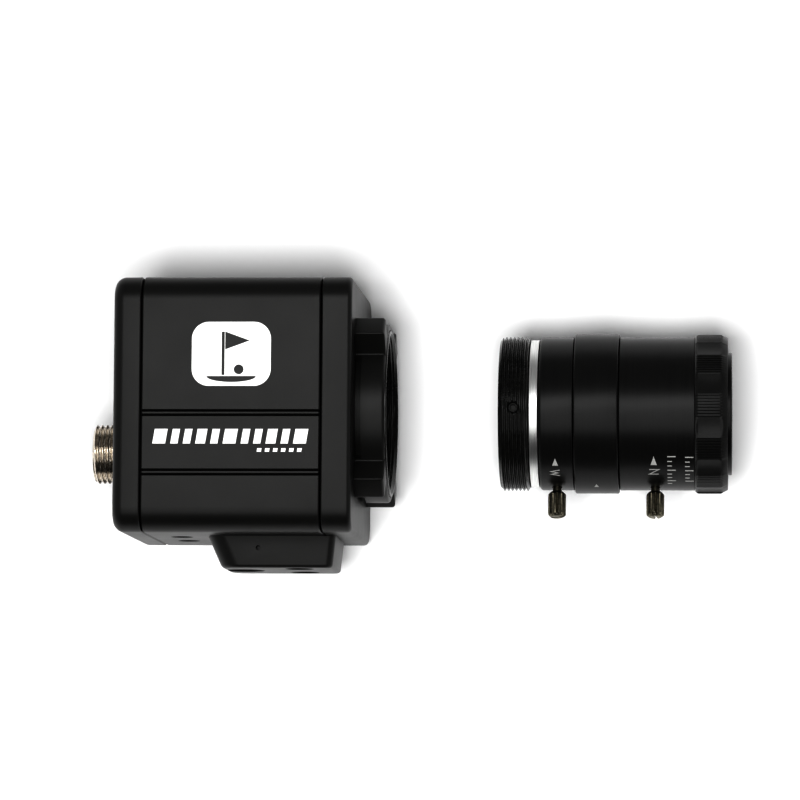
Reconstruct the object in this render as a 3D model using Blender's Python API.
"""Launch monitor camera unit with its varifocal lens drawn off the mount, as separate sub-parts.

+X runs along the optical axis from the housing to the lens, +Y runs across the housing away from the
tripod block, and +Z is up. The origin is the centre of the side face that the housing lies on.
All sizes below are in millimetres; shapes are built about their own local +X axis.
"""

import math

import bmesh
import bpy
from mathutils import Matrix, Vector

MM = 0.001

# Housing
HOUSING_WIDTH = 51.0
HOUSING_LENGTH = 47.6
REAR_CAP_LENGTH = 5.7
FRONT_CAP_LENGTH = 6.1
EDGE_RADIUS = 4.9
REAR_ROUNDING = 2.2
FRONT_ROUNDING = 1.0
WALL = 3.0
CORNER_BOSS = 6.2
SEAM = 0.3
GROOVE_PAIR_Y = (-2.0, -13.8)
GROOVE_WIDTH = 0.42
GROOVE_PITCH = 0.87
GROOVE_DEPTH = 0.35
CASE_SCREW_OFFSET = 19.6
SCREW_RADIUS = 1.5
SCREW_CLEARANCE = 0.25
GASKET_SIZE = 0.9

# Lens mount on the front cap
BLOCK_HALF = 18.1
BLOCK_LENGTH = 5.95
LUG_HALF = 10.7
RIDGE_OFFSET = 14.6
NECK_RADIUS = 16.6
MOUNT_BORE_RADIUS = 15.8
MOUNT_RING_RADIUS = 16.8
MOUNT_RIM = 0.3
APERTURE_RADIUS = 12.0

# Tripod block, on the -Y face
TRIPOD_HEIGHT = 6.4
TRIPOD_HALF_WIDTH = 11.25
TRIPOD_REAR = -6.35
TRIPOD_FRONT = 19.7
TRIPOD_HOLE_X = 0.25
TRIPOD_SCREW_X = 12.05
TRIPOD_SCREW_SPACING = 12.7
TRIPOD_BORE_RADIUS = 3.1
TRIPOD_INSERT_RADIUS = 4.0
PLAIN_HOLE_X = -11.8

# Rear connector, M12 x 1
CONNECTOR_Y = -8.3
CONNECTOR_RADIUS = 6.0
CONNECTOR_REACH = 6.2
CONTACT_CIRCLE = 2.6

# Lens, drawn off the mount along its own axis
LENS_GAP_TO_MOUNT = 22.25
THREAD_RADIUS = 15.6
RING_RADIUS = 15.45
BAND_RADIUS = 16.1
SPACER_RADIUS = 14.9
BARREL_RADIUS = 12.6
BARREL_BORE = 11.4
RING_BORE = 12.75
RING_GAP = 0.15
GRIP_PADS = 11
GRIP_PAD_WIDTH = 17.0
GRIP_PAD_PHASE = 1.5
GRIP_SCALLOP = 0.4
LOCK_TILT = 12.0
LOCK_HEAD_START = 16.4
LOCK_TIP = 21.7

AXIS_Z = HOUSING_WIDTH / 2
HALF = HOUSING_WIDTH / 2
REAR_FACE = -HOUSING_LENGTH / 2
FRONT_FACE = HOUSING_LENGTH / 2
REAR_SEAM = REAR_FACE + REAR_CAP_LENGTH
FRONT_SEAM = FRONT_FACE - FRONT_CAP_LENGTH
BLOCK_FRONT = FRONT_FACE + BLOCK_LENGTH
LENS_REAR = BLOCK_FRONT + MOUNT_RIM + LENS_GAP_TO_MOUNT
THREAD_END = LENS_REAR + 6.1
SPACER_END = THREAD_END + 1.9
ZOOM_END = SPACER_END + 7.0
BAND_END = ZOOM_END + 9.05
FOCUS_END = BAND_END + 15.1
GRIP_END = FOCUS_END + 6.6
BEZEL_END = GRIP_END + 0.8
ZOOM_LOCK_X = SPACER_END + 3.45
FOCUS_LOCK_X = BAND_END + 7.15

FINE = 40
MEDIUM = 24
COARSE = 12


# Outlines: closed lists of (y, z) points in millimetres, anticlockwise about +X

def circle(radius, segments=FINE):
    turn = 2 * math.pi / segments
    return [(radius * math.cos(i * turn), radius * math.sin(i * turn)) for i in range(segments)]


def hexagon(apothem, segments=COARSE):
    """A hexagon sampled at as many points as the circle that it is bridged to."""
    points = []
    for i in range(segments):
        angle = 2 * math.pi * i / segments
        off_flat = (angle + math.pi / 6) % (math.pi / 3) - math.pi / 6
        radius = apothem / math.cos(off_flat)
        points.append((radius * math.cos(angle), radius * math.sin(angle)))
    return points


def rounded_rectangle(half_y, half_z, radius, steps=4):
    points = []
    for quarter, (sign_y, sign_z) in enumerate([(1, 1), (-1, 1), (-1, -1), (1, -1)]):
        for i in range(steps + 1):
            angle = math.pi / 2 * (quarter + i / steps)
            points.append((
                sign_y * (half_y - radius) + radius * math.cos(angle),
                sign_z * (half_z - radius) + radius * math.sin(angle),
            ))
    return points


def rounded_square(half, radius):
    return rounded_rectangle(half, half, radius)


def notched_square(half, notch):
    """A square with a square notch out of each corner, which leaves room for the case screws."""
    inner = half - notch
    side = [(half, -inner), (half, inner), (inner, inner)]
    points = []
    for quarter in range(4):
        turn = Matrix.Rotation(quarter * math.pi / 2, 2)
        points += [tuple(turn @ Vector(point)) for point in side]
    return points


def polar(radius, angle):
    return (radius * math.cos(angle), radius * math.sin(angle))


def mount_outline():
    """Four sides, each a cylindrical lug between two ramps, with the corners cut off between them."""
    edge = math.asin(LUG_HALF / BLOCK_HALF)
    steps = 6
    side = [(BLOCK_HALF, -RIDGE_OFFSET)]
    side += [polar(BLOCK_HALF, edge * (2 * i / steps - 1)) for i in range(steps + 1)]
    side.append((BLOCK_HALF, RIDGE_OFFSET))
    points = []
    for quarter in range(4):
        turn = Matrix.Rotation(quarter * math.pi / 2, 2)
        points += [tuple(turn @ Vector(point)) for point in side]
    return points


def ring_sector(inner, outer, middle, half_angle):
    steps = 6
    sweep = [middle + half_angle * (2 * i / steps - 1) for i in range(steps + 1)]
    return [polar(outer, angle) for angle in sweep] + [polar(inner, angle) for angle in reversed(sweep)]


def grip_outline(pad_radius, scallop_depth):
    """Raised pads with a shallow scallop between them; depth 0 gives the circle that it is bridged to."""
    points = []
    spacing = 360 / GRIP_PADS
    pad_steps = 3
    scallop_steps = 4
    for pad in range(GRIP_PADS):
        centre = GRIP_PAD_PHASE + pad * spacing
        for i in range(pad_steps + 1):
            points.append((centre - GRIP_PAD_WIDTH / 2 + GRIP_PAD_WIDTH * i / pad_steps, pad_radius))
        for i in range(scallop_steps):
            across = (i + 0.5) / scallop_steps
            angle = centre + GRIP_PAD_WIDTH / 2 + (spacing - GRIP_PAD_WIDTH) * across
            points.append((angle, pad_radius - scallop_depth * (0.6 + 0.4 * math.sin(math.pi * across))))
    return [
        (radius * math.sin(math.radians(angle)), radius * math.cos(math.radians(angle)))
        for angle, radius in points
    ]


# Bodies: closed meshes lofted through outlines along local +X

def loft(sections, ring=False):
    """Bridges (x, outline) sections in turn. A ring closes onto its first section; otherwise ends are capped."""
    body = bmesh.new()
    loops = [
        [body.verts.new((x * MM, y * MM, z * MM)) for y, z in outline]
        for x, outline in sections
    ]
    pairs = list(zip(loops, loops[1:]))
    if ring:
        pairs.append((loops[-1], loops[0]))
    for first, second in pairs:
        for i, start in enumerate(first):
            following = (i + 1) % len(first)
            body.faces.new((start, first[following], second[following], second[i]))
    if not ring:
        body.faces.new(loops[0])
        body.faces.new(loops[-1])
    bmesh.ops.recalc_face_normals(body, faces=body.faces)
    return body


def prism(outline, start, end):
    return loft([(start, outline), (end, outline)])


def frame_ring(outer, inner, start, end):
    return loft([(start, outer), (end, outer), (end, inner), (start, inner)], ring=True)


def turned(profile, segments=FINE, ring=True):
    """A turned piece from its (x, radius) profile."""
    return loft([(x, circle(radius, segments)) for x, radius in profile], ring)


def drum(radius, start, end, segments=COARSE):
    return turned([(start, radius), (end, radius)], segments, ring=False)


def lens_element(radius, start, end, front_bulge, rear_bulge, segments=MEDIUM):
    """A glass element with spherical faces that swell by the given bulges."""
    steps = 4
    rear = []
    front = []
    for i in range(steps):
        share = (i + 0.35) / steps
        fall = 1 - share * share
        rear.append((start - rear_bulge * fall, radius * share))
        front.append((end + front_bulge * fall, radius * share))
    return turned(rear + [(start, radius), (end, radius)] + front[::-1], segments, ring=False)


def box(size_x, size_y, size_z, centre):
    half_y, half_z = size_y / 2, size_z / 2
    outline = [(half_y, -half_z), (half_y, half_z), (-half_y, half_z), (-half_y, -half_z)]
    body = prism(outline, -size_x / 2, size_x / 2)
    bmesh.ops.translate(body, verts=body.verts, vec=Vector(centre) * MM)
    return body


def aim(toward):
    """The rotation that turns local +X to the given direction."""
    return Vector((1, 0, 0)).rotation_difference(Vector(toward))


def placed(body, at=(0, 0, 0), toward=(1, 0, 0)):
    matrix = Matrix.Translation(Vector(at) * MM) @ aim(toward).to_matrix().to_4x4()
    bmesh.ops.transform(body, matrix=matrix, verts=body.verts)
    return body


def to_mesh(name, bodies):
    mesh = bpy.data.meshes.new(name)
    whole = bmesh.new()
    for body in bodies:
        body.to_mesh(mesh)
        body.free()
        whole.from_mesh(mesh)
    whole.to_mesh(mesh)
    whole.free()
    return mesh


# Objects

def finish_of(name, colour, metallic, roughness):
    material = bpy.data.materials.new(name)
    material.use_nodes = True
    shader = material.node_tree.nodes["Principled BSDF"]
    shader.inputs["Base Color"].default_value = (*colour, 1)
    shader.inputs["Metallic"].default_value = metallic
    shader.inputs["Roughness"].default_value = roughness
    return material


FINISHES = {
    "black_paint": ((0.028, 0.028, 0.026), 0.0, 0.45),
    "black_anodise": ((0.016, 0.016, 0.017), 0.3, 0.36),
    "bare_aluminium": ((0.72, 0.72, 0.71), 1.0, 0.28),
    "nickel": ((0.42, 0.39, 0.35), 1.0, 0.25),
    "gunmetal": ((0.09, 0.085, 0.07), 0.9, 0.38),
    "steel": ((0.45, 0.45, 0.46), 1.0, 0.3),
    "black_rubber": ((0.015, 0.015, 0.015), 0.0, 0.8),
    "black_plastic": ((0.02, 0.02, 0.02), 0.0, 0.55),
    "board_green": ((0.01, 0.11, 0.05), 0.0, 0.45),
    "link_amber": ((0.35, 0.16, 0.03), 0.0, 0.4),
    "silicon": ((0.03, 0.05, 0.07), 0.2, 0.15),
    "brass": ((0.55, 0.4, 0.16), 1.0, 0.3),
    "glass": ((0.62, 0.72, 0.74), 0.0, 0.05),
}


def empty(name, location):
    holder = bpy.data.objects.new(name, None)
    holder.location = Vector(location) * MM
    bpy.context.scene.collection.objects.link(holder)
    return holder


def piece(name, body, finish, holder, at=(0, 0, 0), toward=(1, 0, 0)):
    mesh = to_mesh(name, [body])
    mesh.shade_smooth()
    mesh.set_sharp_from_angle(angle=math.radians(35))
    mesh.materials.append(bpy.data.materials[finish])
    made = bpy.data.objects.new(name, mesh)
    made.parent = holder
    made.location = Vector(at) * MM
    made.rotation_mode = "QUATERNION"
    made.rotation_quaternion = aim(toward)
    bpy.context.scene.collection.objects.link(made)
    return made


def cut(target, bodies, holder):
    """Cuts from a piece the bodies given in the holder's frame, which don't touch each other."""
    tool_name = f"{target.name}_cutter"
    tool = bpy.data.objects.new(tool_name, to_mesh(tool_name, bodies))
    tool.parent = holder
    tool.hide_render = True
    tool.display_type = "WIRE"
    bpy.context.scene.collection.objects.link(tool)
    modifier = target.modifiers.new(tool_name, "BOOLEAN")
    modifier.operation = "DIFFERENCE"
    modifier.solver = "EXACT"
    modifier.object = tool


# Housing

def corners(offset):
    return [(y, z) for y in (-offset, offset) for z in (-offset, offset)]


def rounded_end(face, radius, direction):
    """(x, inset) steps of a rounded edge that starts at an end face; direction is +1 for a rear face."""
    steps = 4
    return [
        (
            face + direction * radius * (1 - math.cos(math.pi / 2 * i / steps)),
            radius * (1 - math.sin(math.pi / 2 * i / steps)),
        )
        for i in range(steps + 1)
    ]


def housing_loft(steps):
    return loft([(x, rounded_square(HALF - inset, EDGE_RADIUS - inset)) for x, inset in steps])


def gasket_groove(start, end):
    clearance = 0.15
    outer = rounded_square(23.3 + clearance, 2.7 + clearance)
    inner = rounded_square(23.3 - GASKET_SIZE - clearance, 1.8 - clearance)
    return frame_ring(outer, inner, start, end)


def gasket(name, start, holder):
    outer = rounded_square(23.3, 2.7)
    inner = rounded_square(23.3 - GASKET_SIZE, 1.8)
    return piece(name, frame_ring(outer, inner, start, start + GASKET_SIZE), "black_rubber", holder)


def screw_channels(start, end):
    hole = SCREW_RADIUS + SCREW_CLEARANCE
    return [placed(drum(hole, start, end), (0, y, z)) for y, z in corners(CASE_SCREW_OFFSET)]


def socket_screw(length, head_radius=2.6, head_length=3.0):
    """A socket head screw from its head's outer face at x = 0 to its tip at x = length."""
    segments = COARSE
    socket = hexagon(1.25, segments)
    return loft([
        (1.4, socket), (0, socket),
        (0, circle(head_radius - 0.25, segments)), (0.25, circle(head_radius, segments)),
        (head_length, circle(head_radius, segments)), (head_length, circle(SCREW_RADIUS, segments)),
        (length - 0.4, circle(SCREW_RADIUS, segments)), (length, circle(SCREW_RADIUS - 0.4, segments)),
    ])


def make_rear_cap(holder):
    rim = REAR_SEAM - SEAM / 2
    chamfer = 0.25
    steps = rounded_end(REAR_FACE, REAR_ROUNDING, 1) + [(rim - chamfer, 0), (rim, chamfer)]
    cap = piece("rear_cap", housing_loft(steps), "black_paint", holder)
    floor = REAR_FACE + 2.6
    past = REAR_SEAM + 1
    groove_floor = rim - GASKET_SIZE
    head_recess = SCREW_RADIUS + 1.35
    bodies = [
        prism(notched_square(21.0, 5.8), floor, past),
        gasket_groove(groove_floor, past),
    ]
    hole = SCREW_RADIUS + SCREW_CLEARANCE
    for y, z in corners(CASE_SCREW_OFFSET):
        stepped = turned([
            (REAR_FACE - 1, head_recess), (REAR_FACE + 3.4, head_recess),
            (REAR_FACE + 3.4, hole), (past, hole),
        ], COARSE, ring=False)
        bodies.append(placed(stepped, (0, y, z)))
    cut(cap, bodies, holder)
    cut(cap, [placed(drum(5.7, REAR_FACE - 1, floor + 0.5, MEDIUM), (0, CONNECTOR_Y, 0))], holder)
    gasket("rear_gasket", groove_floor + 0.1, holder)


def make_sleeve(holder):
    start, end = REAR_SEAM + SEAM / 2, FRONT_SEAM - SEAM / 2
    chamfer = 0.25
    steps = [(start, chamfer), (start + chamfer, 0), (end - chamfer, 0), (end, chamfer)]
    sleeve = piece("housing_sleeve", housing_loft(steps), "black_paint", holder)
    bodies = [prism(notched_square(HALF - WALL, CORNER_BOSS), start - 1, end + 1)]
    bodies += screw_channels(start - 1, end + 1)
    length = end - start + 2
    for side in (-1, 1):
        for pair_y in GROOVE_PAIR_Y:
            for rail in (-0.5, 0.5):
                centre = (0, pair_y + rail * GROOVE_PITCH, side * HALF)
                bodies.append(box(length, GROOVE_WIDTH, 2 * GROOVE_DEPTH, centre))
    for z in (-6.25, 6.25):
        bodies.append(placed(drum(2.1, -1, 2.2), (PLAIN_HOLE_X, -HALF, z), (0, 1, 0)))
    for z in (-TRIPOD_SCREW_SPACING / 2, TRIPOD_SCREW_SPACING / 2):
        hole = SCREW_RADIUS + SCREW_CLEARANCE
        bodies.append(placed(drum(hole, -1, 2.4), (TRIPOD_SCREW_X, -HALF, z), (0, 1, 0)))
    cut(sleeve, bodies, holder)


def make_front_cap(holder):
    rim = FRONT_SEAM + SEAM / 2
    chamfer = 0.25
    steps = [(rim, chamfer), (rim + chamfer, 0)] + rounded_end(FRONT_FACE, FRONT_ROUNDING, -1)[::-1]
    cap = piece("front_cap", housing_loft(steps), "black_paint", holder)
    plate_rear = FRONT_FACE - 3.2
    before = FRONT_SEAM - 1
    groove_floor = rim + GASKET_SIZE
    bodies = [
        prism(notched_square(21.0, 5.8), before, plate_rear),
        gasket_groove(before, groove_floor),
    ]
    bodies += screw_channels(before, FRONT_FACE - 1.6)
    aperture = drum(APERTURE_RADIUS, plate_rear - 0.5, FRONT_FACE + 1, MEDIUM)
    cut(cap, bodies, holder)
    cut(cap, [aperture], holder)
    gasket("front_gasket", rim - 0.1, holder)


def make_case_screws(holder):
    start = REAR_FACE + 0.3
    length = FRONT_FACE - 2.0 - start
    for index, (y, z) in enumerate(corners(CASE_SCREW_OFFSET), 1):
        piece(f"case_screw_{index}", socket_screw(length), "steel", holder, (start, y, z))


def make_mount(holder):
    """The boss with a lug on each side, and the threaded ring in it."""
    base = FRONT_FACE + SEAM / 2
    lug_start = FRONT_FACE + 1.15
    body = prism(mount_outline(), base, BLOCK_FRONT)
    block = piece("lens_mount_block", body, "black_paint", holder)
    flange = FRONT_FACE + 0.8
    ring_seat = lug_start + 0.4
    bore = turned([
        (base - 1, APERTURE_RADIUS + 1), (flange, APERTURE_RADIUS + 1),
        (flange, MOUNT_BORE_RADIUS), (ring_seat, MOUNT_BORE_RADIUS),
        (ring_seat, MOUNT_RING_RADIUS + 0.2), (BLOCK_FRONT + 1, MOUNT_RING_RADIUS + 0.2),
    ], FINE, ring=False)
    under_lug = math.asin(LUG_HALF / BLOCK_HALF) - math.radians(2)
    undercuts = [
        prism(ring_sector(NECK_RADIUS, BLOCK_HALF + 2, quarter * math.pi / 2, under_lug), base - 1, lug_start)
        for quarter in range(4)
    ]
    cut(block, [bore] + undercuts, holder)
    ring_start = ring_seat + 0.2
    ring_end = BLOCK_FRONT + MOUNT_RIM
    ring = turned([
        (ring_start, MOUNT_BORE_RADIUS), (ring_start, MOUNT_RING_RADIUS),
        (ring_end - 0.2, MOUNT_RING_RADIUS), (ring_end, MOUNT_RING_RADIUS - 0.25),
        (ring_end, MOUNT_BORE_RADIUS + 0.25), (ring_end - 0.25, MOUNT_BORE_RADIUS),
    ])
    piece("mount_ring", ring, "black_anodise", holder)


def make_imaging(holder):
    """Filter, sensor and boards on the optical axis."""
    plate_rear = FRONT_FACE - 3.2
    frame_front = plate_rear - 0.2
    frame_rear = frame_front - 2.4
    rebate_floor = frame_front - 1.3
    frame_body = prism(rounded_square(14.0, 1.0), frame_rear, frame_front)
    frame = piece("filter_frame", frame_body, "black_plastic", holder)
    window = prism(rounded_square(8.0, 0.5), frame_rear - 1, rebate_floor + 0.3)
    rebate = prism(rounded_square(9.6, 0.5), rebate_floor, frame_front + 1)
    cut(frame, [window], holder)
    cut(frame, [rebate], holder)
    glass_body = prism(rounded_square(9.3, 0.4), rebate_floor + 0.15, rebate_floor + 1.15)
    piece("ir_filter", glass_body, "glass", holder)
    sensor_front = frame_rear - 0.3
    sensor_rear = sensor_front - 2.0
    piece("image_sensor", prism(rounded_rectangle(7.0, 6.0, 0.4, 2), sensor_rear, sensor_front), "silicon", holder)
    board_front = sensor_rear - 0.1
    board_outline = notched_square(20.5, 6.0)
    piece("sensor_board", prism(board_outline, board_front - 1.6, board_front), "board_green", holder)
    for index, (y, z) in enumerate([(-18, -11), (-18, 11), (18, -11), (18, 11)], 1):
        post = prism(hexagon(2.0, 6), board_front + 0.1, plate_rear - 0.1)
        piece(f"standoff_{index}", post, "brass", holder, (0, y, z))


def make_interface_board(holder):
    board_front = REAR_FACE + 10.3
    outline = notched_square(20.5, 6.0)
    piece("interface_board", prism(outline, board_front - 1.6, board_front), "board_green", holder)
    processor = prism(rounded_square(7.5, 0.5), board_front + 0.1, board_front + 2.0)
    piece("main_processor", processor, "black_plastic", holder)
    for index, (y, z) in enumerate([(17.5, 0.0), (-17.5, 12.0)], 1):
        post = prism(hexagon(2.0, 6), REAR_FACE + 2.7, board_front - 1.7)
        piece(f"board_post_{index}", post, "brass", holder, (0, y, z))
    start = board_front + 0.3
    end = FRONT_FACE - 10.4
    half_thickness, half_width, bow = 0.15, 5.0, 3.0
    steps = 12
    sections = []
    for i in range(steps + 1):
        share = i / steps
        middle = 15.0 + bow * math.sin(math.pi * share) ** 2
        low, high = middle - half_thickness, middle + half_thickness
        outline = [(high, -half_width), (high, half_width), (low, half_width), (low, -half_width)]
        sections.append((start + (end - start) * share, outline))
    piece("board_link", loft(sections), "link_amber", holder)


def make_connector(holder):
    end = REAR_FACE - CONNECTOR_REACH
    cap_inside = REAR_FACE + 2.6
    neck = CONNECTOR_RADIUS - 0.5
    bore = 4.9
    at = (0, CONNECTOR_Y, 0)
    shell = turned([
        (end, bore), (end, CONNECTOR_RADIUS - 0.8), (end + 0.8, CONNECTOR_RADIUS),
        (REAR_FACE - 0.5, CONNECTOR_RADIUS), (REAR_FACE - 0.5, neck),
        (cap_inside + 3.4, neck), (cap_inside + 3.4, bore),
    ], MEDIUM)
    piece("connector_shell", shell, "nickel", holder, at)
    segments = COARSE
    seal = turned([
        (cap_inside + 0.1, neck + 0.15), (cap_inside + 0.1, 7.2),
        (cap_inside + 0.8, 7.2), (cap_inside + 0.8, neck + 0.15),
    ], MEDIUM)
    piece("connector_seal", seal, "black_rubber", holder, at)
    nut_start = cap_inside + 0.95
    nut_end = nut_start + 2.0
    nut = frame_ring(hexagon(7.2, segments * 2), circle(neck + 0.15, segments * 2), nut_start, nut_end)
    piece("connector_nut", nut, "nickel", holder, at)
    insert_front = end + 0.8
    insert_rear = REAR_FACE + 5.8
    insert = piece("connector_insert", drum(bore - 0.2, insert_front, insert_rear, MEDIUM), "black_plastic", holder, at)
    contact_radius = 0.55
    contact_rear = REAR_FACE + 8.4
    places = []
    for index in range(4):
        angle = math.pi / 4 + index * math.pi / 2
        places.append((CONTACT_CIRCLE * math.cos(angle), CONTACT_CIRCLE * math.sin(angle)))
    holes = [
        placed(drum(contact_radius + 0.15, insert_front - 1, insert_rear + 1, 12), (0, CONNECTOR_Y + y, z))
        for y, z in places
    ]
    cut(insert, holes, holder)
    for index, (y, z) in enumerate(places, 1):
        contact = drum(contact_radius, insert_front + 0.3, contact_rear, 12)
        piece(f"contact_{index}", contact, "brass", holder, (0, CONNECTOR_Y + y, z))


# Tripod block: its local +X points down, away from the housing, and its local +Y is world +X

def block_plan(rear, front, half_width, rear_radius, front_radius):
    """The block's plan: rounded at the rear end, with small corners at the front end."""
    steps = 4
    ends = [
        (front, half_width, front_radius, 0), (rear, half_width, rear_radius, 1),
        (rear, -half_width, rear_radius, 2), (front, -half_width, front_radius, 3),
    ]
    points = []
    for along, across, radius, quarter in ends:
        centre_along = along - radius if along == front else along + radius
        centre_across = across - math.copysign(radius, across)
        for i in range(steps + 1):
            angle = math.pi / 2 * (quarter + i / steps)
            points.append((centre_along + radius * math.cos(angle), centre_across + radius * math.sin(angle)))
    return points


def make_tripod_block(holder):
    top = 0.15
    chamfer = 0.4
    rear_draft, front_draft, side_draft = 2.85, 0.7, 0.3

    def plan(depth, inset=0.0):
        share = depth / TRIPOD_HEIGHT
        return block_plan(
            TRIPOD_REAR + rear_draft * share + inset, TRIPOD_FRONT - front_draft * share - inset,
            TRIPOD_HALF_WIDTH - side_draft * share - inset, 4.0 - inset, 1.6 - inset,
        )

    body = loft([
        (top, plan(top)), (TRIPOD_HEIGHT - chamfer, plan(TRIPOD_HEIGHT - chamfer)),
        (TRIPOD_HEIGHT, plan(TRIPOD_HEIGHT, chamfer)),
    ])
    down = (0, -1, 0)
    block = piece("tripod_block", body, "black_paint", holder, (0, -HALF, 0), down)
    bodies = [placed(
        drum(TRIPOD_INSERT_RADIUS + 0.15, -1, TRIPOD_HEIGHT + 1, MEDIUM), (TRIPOD_HOLE_X, -HALF, 0), down,
    )]
    head_recess = 2.9
    for z in (-TRIPOD_SCREW_SPACING / 2, TRIPOD_SCREW_SPACING / 2):
        stepped = turned([
            (-1, SCREW_RADIUS + SCREW_CLEARANCE), (TRIPOD_HEIGHT - 3.2, SCREW_RADIUS + SCREW_CLEARANCE),
            (TRIPOD_HEIGHT - 3.2, head_recess), (TRIPOD_HEIGHT + 1, head_recess),
        ], COARSE, ring=False)
        bodies.append(placed(stepped, (TRIPOD_SCREW_X, -HALF, z), down))
    cut(block, bodies, holder)
    insert = turned([
        (0.3, TRIPOD_BORE_RADIUS), (0.3, TRIPOD_INSERT_RADIUS),
        (TRIPOD_HEIGHT - 0.1, TRIPOD_INSERT_RADIUS), (TRIPOD_HEIGHT - 0.1, TRIPOD_BORE_RADIUS + 0.5),
        (TRIPOD_HEIGHT - 0.6, TRIPOD_BORE_RADIUS),
    ], MEDIUM)
    piece("tripod_insert", insert, "steel", holder, (TRIPOD_HOLE_X, -HALF, 0), down)
    head_face = -HALF - TRIPOD_HEIGHT + 0.9
    for index, side in enumerate((-1, 1), 1):
        at = (TRIPOD_SCREW_X, head_face, side * TRIPOD_SCREW_SPACING / 2)
        screw = socket_screw(7.5, head_radius=2.6, head_length=2.1)
        piece(f"tripod_screw_{index}", screw, "steel", holder, at, (0, 1, 0))


# Lens

def radial(angle_degrees):
    """The unit direction across the lens at an angle from +Z toward +Y."""
    angle = math.radians(angle_degrees)
    return (0, math.sin(angle), math.cos(angle))


def lens_ring(name, start, end, outer, bore, finish, holder, rear_chamfer=0.3, front_chamfer=0.3):
    profile = [
        (start, bore), (start, outer - rear_chamfer), (start + rear_chamfer, outer),
        (end - front_chamfer, outer), (end, outer - front_chamfer), (end, bore),
    ]
    return piece(name, turned(profile), finish, holder)


def lock_screw(name, station, holder):
    """A knurled thumbscrew: thin neck through the ring's wall, then the head with a slot across its end."""
    neck, head = 0.8, 1.8
    body = turned([
        (13.1, neck - 0.2), (13.3, neck), (LOCK_HEAD_START, neck), (LOCK_HEAD_START, head - 0.5),
        (LOCK_HEAD_START + 0.5, head), (LOCK_TIP - 0.3, head), (LOCK_TIP, head - 0.3),
    ], COARSE, ring=False)
    direction = radial(-90 + LOCK_TILT)
    screw = piece(name, body, "gunmetal", holder, (station, 0, 0), direction)
    slot = placed(box(1.4, 6.0, 0.5, (LOCK_TIP, 0, 0)), (station, 0, 0), direction)
    cut(screw, [slot], holder)


def lock_hole(station):
    return placed(drum(1.0, 11.0, 17.0, 12), (station, 0, 0), radial(-90 + LOCK_TILT))


def make_lens_mounting(holder):
    ring = lens_ring(
        "thread_ring", LENS_REAR, THREAD_END - RING_GAP, THREAD_RADIUS, RING_BORE + 0.05,
        "black_anodise", holder, rear_chamfer=0.5,
    )
    screw_x = LENS_REAR + 3.0
    facing = radial(0)
    cut(ring, [placed(drum(1.25, 11.0, 17.0, 12), (screw_x, 0, 0), facing)], holder)
    segments = 12
    grub = loft([
        (13.9, hexagon(0.6, segments)), (14.8, hexagon(0.6, segments)),
        (14.8, circle(1.05, segments)), (13.0, circle(1.05, segments)),
    ])
    piece("thread_ring_screw", grub, "steel", holder, (screw_x, 0, 0), facing)
    lens_ring(
        "spacer_ring", THREAD_END, SPACER_END - RING_GAP, SPACER_RADIUS, RING_BORE,
        "bare_aluminium", holder, rear_chamfer=0.15, front_chamfer=0.15,
    )


def make_lens_barrel(holder):
    rear = LENS_REAR + 0.6
    front = FOCUS_END - 2.9
    tube = turned([(rear, BARREL_BORE), (rear, BARREL_RADIUS), (front, BARREL_RADIUS), (front, BARREL_BORE)])
    piece("inner_barrel", tube, "black_anodise", holder)
    lens_ring(
        "index_band", ZOOM_END, BAND_END - RING_GAP, BAND_RADIUS, RING_BORE,
        "black_anodise", holder, rear_chamfer=0.5, front_chamfer=0.5,
    )
    retainer = turned([
        (rear + 0.6, 7.4), (rear + 0.6, 11.2), (rear + 3.6, 11.2), (rear + 3.6, 6.75), (rear + 1.2, 6.75),
    ], MEDIUM)
    piece("rear_retainer", retainer, "black_plastic", holder)
    piece("rear_glass", lens_element(6.5, rear + 1.6, rear + 3.4, 0.4, 0.7), "glass", holder)
    stop_x = ZOOM_END + 6.6
    stop = turned([(stop_x, 3.5), (stop_x, 11.2), (stop_x + 0.6, 11.2), (stop_x + 0.6, 3.7)], MEDIUM)
    piece("aperture_stop", stop, "black_plastic", holder)


def lens_group(name, start, length, glass_radius, holder):
    """A sliding carrier and the glass in it."""
    carrier = turned([
        (start, glass_radius + 0.2), (start, 11.1), (start + length, 11.1), (start + length, glass_radius + 0.2),
    ], MEDIUM)
    piece(f"{name}_carrier", carrier, "black_plastic", holder)
    glass = lens_element(glass_radius, start + 1.4, start + length - 1.4, 0.9, 0.9)
    piece(f"{name}_glass", glass, "glass", holder)


def make_zoom(holder):
    ring = lens_ring(
        "zoom_ring", SPACER_END, ZOOM_END - RING_GAP, RING_RADIUS, RING_BORE,
        "black_anodise", holder, rear_chamfer=0.6,
    )
    cut(ring, [lock_hole(ZOOM_LOCK_X)], holder)
    lock_screw("zoom_lock_screw", ZOOM_LOCK_X, holder)
    lens_group("zoom", SPACER_END + 2.6, 6.0, 7.7, holder)


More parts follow.
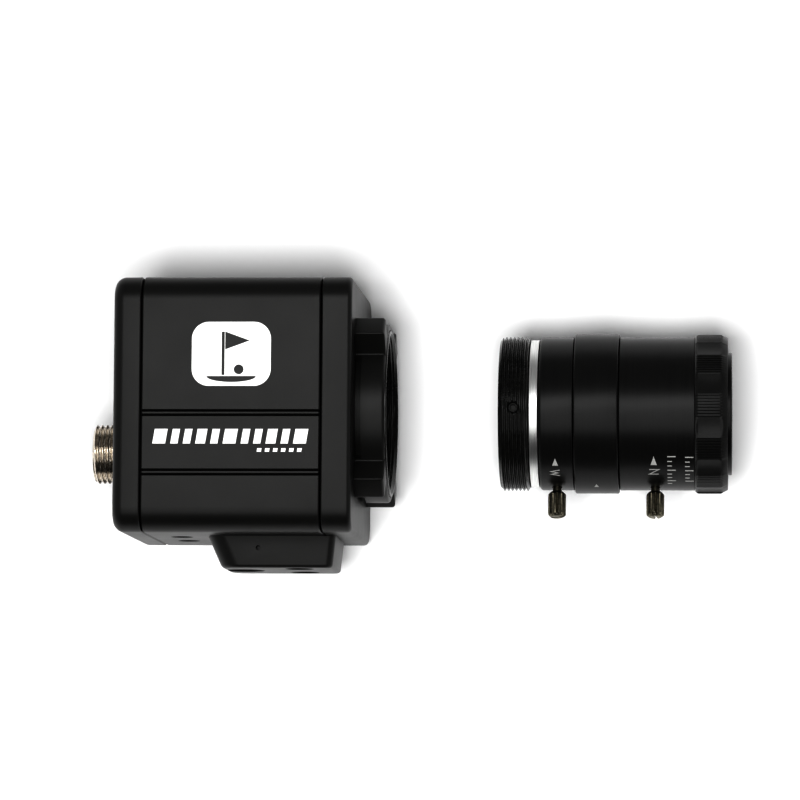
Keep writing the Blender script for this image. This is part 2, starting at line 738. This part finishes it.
def make_focus(holder):
    nose_end = GRIP_END - 0.6
    nose_radius = 13.6
    shoulder = FOCUS_END - 0.1
    profile = [
        (BAND_END, RING_BORE), (BAND_END, RING_RADIUS - 0.3), (BAND_END + 0.3, RING_RADIUS),
        (shoulder, RING_RADIUS), (shoulder, nose_radius), (nose_end, nose_radius),
        (nose_end, 12.55), (FOCUS_END - 2.4, 12.55), (FOCUS_END - 2.4, RING_BORE),
    ]
    barrel = piece("focus_barrel", turned(profile), "black_anodise", holder)
    cut(barrel, [lock_hole(FOCUS_LOCK_X)], holder)
    lock_screw("focus_lock_screw", FOCUS_LOCK_X, holder)
    bore = grip_outline(nose_radius + 0.2, 0)
    rear_edge = grip_outline(BAND_RADIUS - 0.35, GRIP_SCALLOP * 0.6)
    crest = grip_outline(BAND_RADIUS, GRIP_SCALLOP)
    front_edge = grip_outline(BAND_RADIUS - 0.7, GRIP_SCALLOP * 0.6)
    grip = loft([
        (FOCUS_END + 0.05, bore), (FOCUS_END + 0.05, rear_edge), (FOCUS_END + 0.4, crest),
        (GRIP_END - 1.4, crest), (GRIP_END, front_edge), (GRIP_END, bore),
    ], ring=True)
    piece("grip_ring", grip, "black_plastic", holder)
    bezel = turned([
        (FOCUS_END + 0.6, 10.9), (FOCUS_END + 0.6, 12.35), (BEZEL_END - 0.3, 12.35),
        (BEZEL_END, 12.1), (BEZEL_END, 11.5), (BEZEL_END - 0.9, 10.9),
    ])
    piece("front_bezel", bezel, "black_anodise", holder)
    front_glass = lens_element(10.7, FOCUS_END + 2.6, BEZEL_END - 3.0, 1.9, -0.6)
    piece("front_glass", front_glass, "glass", holder)
    lens_group("focus", BAND_END + 1.2, 5.5, 8.2, holder)


for leftover in list(bpy.data.objects):
    bpy.data.objects.remove(leftover)
for finish_name, (rgb, metal, rough) in FINISHES.items():
    finish_of(finish_name, rgb, metal, rough)

optical_axis = empty("optical_axis", (0, 0, AXIS_Z))
make_rear_cap(optical_axis)
make_sleeve(optical_axis)
make_front_cap(optical_axis)
make_case_screws(optical_axis)
make_mount(optical_axis)
make_imaging(optical_axis)
make_interface_board(optical_axis)
make_connector(optical_axis)
make_tripod_block(optical_axis)
make_lens_mounting(optical_axis)
make_lens_barrel(optical_axis)
make_zoom(optical_axis)
make_focus(optical_axis)
